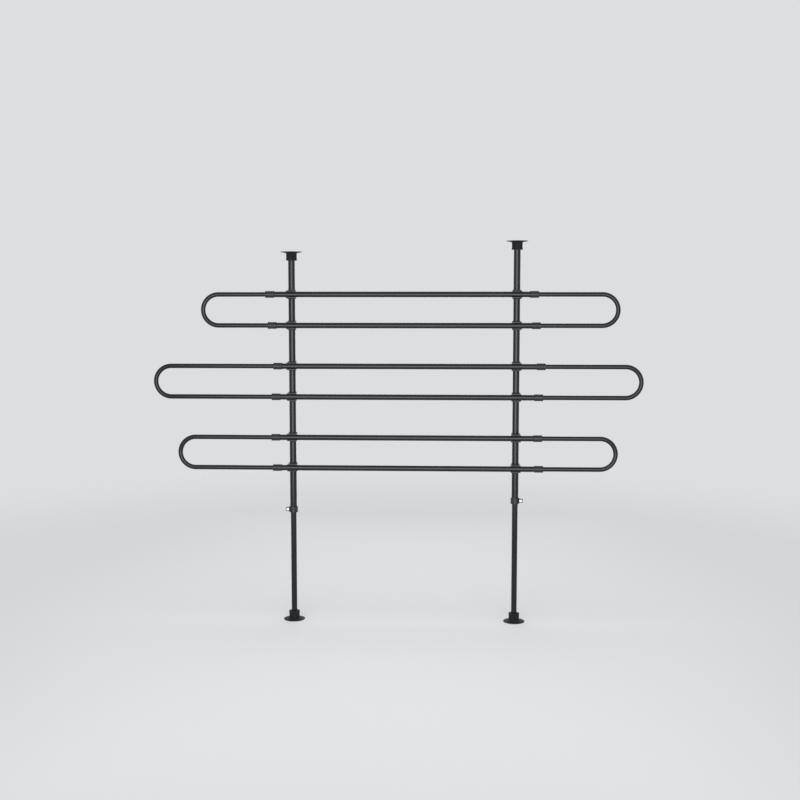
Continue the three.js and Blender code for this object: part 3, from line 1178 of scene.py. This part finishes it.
@dataclass
class Loop:
    """One loop: two bars with their collars, two sliding ends and four cross clamps.

    Attributes:
        name: Which of the loops it is.
        clamp: The clamp that each crossing gets.
        collar: The collar that each bar end gets.
    """

    name: LoopName
    clamp: CrossClamp
    collar: EndCollar

    def build(self) -> None:
        """Makes the loop."""
        for side in Side:
            LoopEnd(self.name, side).build()
        for level in Level:
            StraightTube(f"{self.name.value}_{level.value}_bar", Axis.X, BAR_COAT).build()
            for side in Side:
                self.collar.build(self.name, level, side)
                self.clamp.build(self.name, level, side)


@dataclass
class PhotoCamera:
    """The camera, where the photograph was taken from.

    Attributes:
        place_mm: Where it stands in the frame.
        left_turn: How far it is turned to the left of +Y, in degrees.
        down_tilt: How far it looks down, in degrees.
        focal_px: The focal length in pixels of the photograph.
        image_px: The width of the photograph.
    """

    place_mm: Corner = (440.5, -3172.4, 927.1)
    left_turn: float = 2.458
    down_tilt: float = 5.269
    focal_px: float = 1130.0
    image_px: float = 800.0

    def build(self) -> None:
        """Adds the camera to the scene."""
        lens = bpy.data.cameras.new("photo_camera")
        lens.sensor_width = 36.0
        lens.lens = self.focal_px / self.image_px * lens.sensor_width
        camera = add_object("photo_camera", lens)
        camera.location = Vector(self.place_mm) * MM
        camera.rotation_euler = (math.radians(90 - self.down_tilt), 0, math.radians(self.left_turn))
        bpy.context.scene.camera = camera


@dataclass(frozen=True)
class SoftBox:
    """A rectangular soft box.

    Attributes:
        name: Its name.
        place: Where it hangs, in metres.
        aim: The point that it faces, in metres.
        size: Its width and height in metres.
        power: Its power in watts.
        beam: How wide its grid lets the light spread, in degrees.
    """

    name: str
    place: Corner
    aim: Corner
    size: tuple[float, float]
    power: float
    beam: float = 100.0

    def hang(self) -> None:
        """Adds the soft box, which lights the guard but isn't seen by the camera."""
        light = bpy.data.lights.new(self.name, "AREA")
        light.shape = "RECTANGLE"
        light.size, light.size_y = self.size
        light.energy = self.power
        light.spread = math.radians(self.beam)
        box = add_object(self.name, light)
        box.location = self.place
        box.rotation_euler = (Vector(self.aim) - Vector(self.place)).to_track_quat("-Z", "Y").to_euler()
        box.visible_camera = False


@dataclass
class Studio:
    """A pale floor that fades into a pale background, and soft light.

    The box near the camera draws the pale line on bars and poles.

    Attributes:
        floor_colour: The sRGB colour of the floor.
        background: The sRGB colour of the background.
        room_light: The strength of the light from the sides.
        ceiling_light: How much more comes from straight above.
        ceiling_focus: How steeply the ceiling's light falls off to the sides.
        boxes: The soft boxes.
        floor_size: The floor's side in metres.
        floor_gap: How far it lies under the feet, in metres, so that they don't share a plane.
        fade: Where the floor starts and ends to fade, in metres from the guard.
    """

    floor_colour: str = "#e8eaeb"
    background: str = "#dcdee0"
    room_light: float = 0.1
    ceiling_light: float = 1.6
    ceiling_focus: float = 3.0
    boxes: Sequence[SoftBox] = (
        SoftBox("front_box", (0.3, -1.6, 0.7), (0.3, 0.0, 0.7), (1.9, 1.2), 9.0),
        SoftBox("back_box", (0.3, 1.8, 0.8), (0.3, 0.0, 0.8), (1.6, 1.2), 4.0),
    )
    floor_size: float = 40.0
    floor_gap: float = 0.0002
    fade: tuple[float, float] = (0.9, 3.0)

    def build(self) -> None:
        """Adds the world, the soft boxes and the floor."""
        bpy.context.scene.view_settings.view_transform = "Standard"
        self.add_world()
        for box in self.boxes:
            box.hang()
        self.add_floor()

    def add_world(self) -> None:
        """Lights all round, and shows the background to the eye, to gloss and through glass."""
        world = bpy.data.worlds.new("pale_room")
        bpy.context.scene.world = world
        tree = cleared_tree(world)
        rays = add_node(tree, "ShaderNodeLightPath").outputs
        seen = rays["Is Camera Ray"]
        for kind in ("Is Glossy Ray", "Is Transmission Ray"):
            either = add_node(tree, "ShaderNodeMath", {"operation": "MAXIMUM"}, {0: seen, 1: rays[kind]})
            seen = either.outputs[0]
        toward = add_node(tree, "ShaderNodeTexCoord").outputs["Generated"]
        rise = add_node(tree, "ShaderNodeSeparateXYZ", links={0: toward}).outputs["Z"]
        ceiling = add_node(tree, "ShaderNodeMath", {"operation": "POWER", 1: self.ceiling_focus}, {0: rise})
        strength = add_node(tree, "ShaderNodeMapRange", {
            "To Min": self.room_light, "To Max": self.room_light + self.ceiling_light},
            {"Value": ceiling.outputs[0]})
        light = add_node(tree, "ShaderNodeBackground", {"Color": WHITE}, {"Strength": strength.outputs[0]})
        shown = add_node(tree, "ShaderNodeBackground", {"Color": linear(self.background)})
        mix = add_node(tree, "ShaderNodeMixShader", links={0: seen, 1: light.outputs[0], 2: shown.outputs[0]})
        add_node(tree, "ShaderNodeOutputWorld", links={"Surface": mix.outputs[0]})

    def add_floor(self) -> None:
        """Lays the floor just under the feet."""
        bm = bmesh.new()
        low, high = CAD_BOX
        middle = (Vector(low) + Vector(high)) / 2
        bmesh.ops.create_grid(bm, x_segments=1, y_segments=1, size=self.floor_size / 2,
                              matrix=Matrix.Translation((middle.x, middle.y, low[2] - self.floor_gap)))
        floor = add_object("floor", bm)
        floor.data.materials.append(self.floor_material(middle))

    def floor_material(self, middle: Vector) -> bpy.types.Material:
        """The pale floor, which clears to the background far from the guard.

        Args:
            middle: The middle of the guard.

        Returns:
            The material.
        """
        material = bpy.data.materials.new("pale_floor")
        tree = cleared_tree(material)
        place = add_node(tree, "ShaderNodeTexCoord").outputs["Object"]
        flat = (middle.x, middle.y, 0)
        away = add_node(tree, "ShaderNodeVectorMath", {"operation": "DISTANCE", 1: flat}, {0: place})
        start, end = self.fade
        share = add_node(tree, "ShaderNodeMapRange", {
            "interpolation_type": "SMOOTHSTEP", "From Min": start, "From Max": end},
            {"Value": away.outputs["Value"]}).outputs[0]
        paint = add_node(tree, "ShaderNodeBsdfDiffuse", {"Color": linear(self.floor_colour)})
        clear = add_node(tree, "ShaderNodeBsdfTransparent")
        mix = add_node(tree, "ShaderNodeMixShader",
                       links={0: share, 1: paint.outputs[0], 2: clear.outputs[0]})
        add_node(tree, "ShaderNodeOutputMaterial", links={"Surface": mix.outputs[0]})
        return material


def main() -> None:
    """Builds the camera, the studio and the guard."""
    logging.basicConfig(level=logging.INFO, format="%(message)s")
    PhotoCamera().build()
    Studio().build()
    for side in Side:
        Pole(side).build()
    clamp, collar = CrossClamp(), EndCollar()
    for name in LoopName:
        Loop(name, clamp, collar).build()
    bpy.context.view_layer.update()


if __name__ == "__main__":
    main()
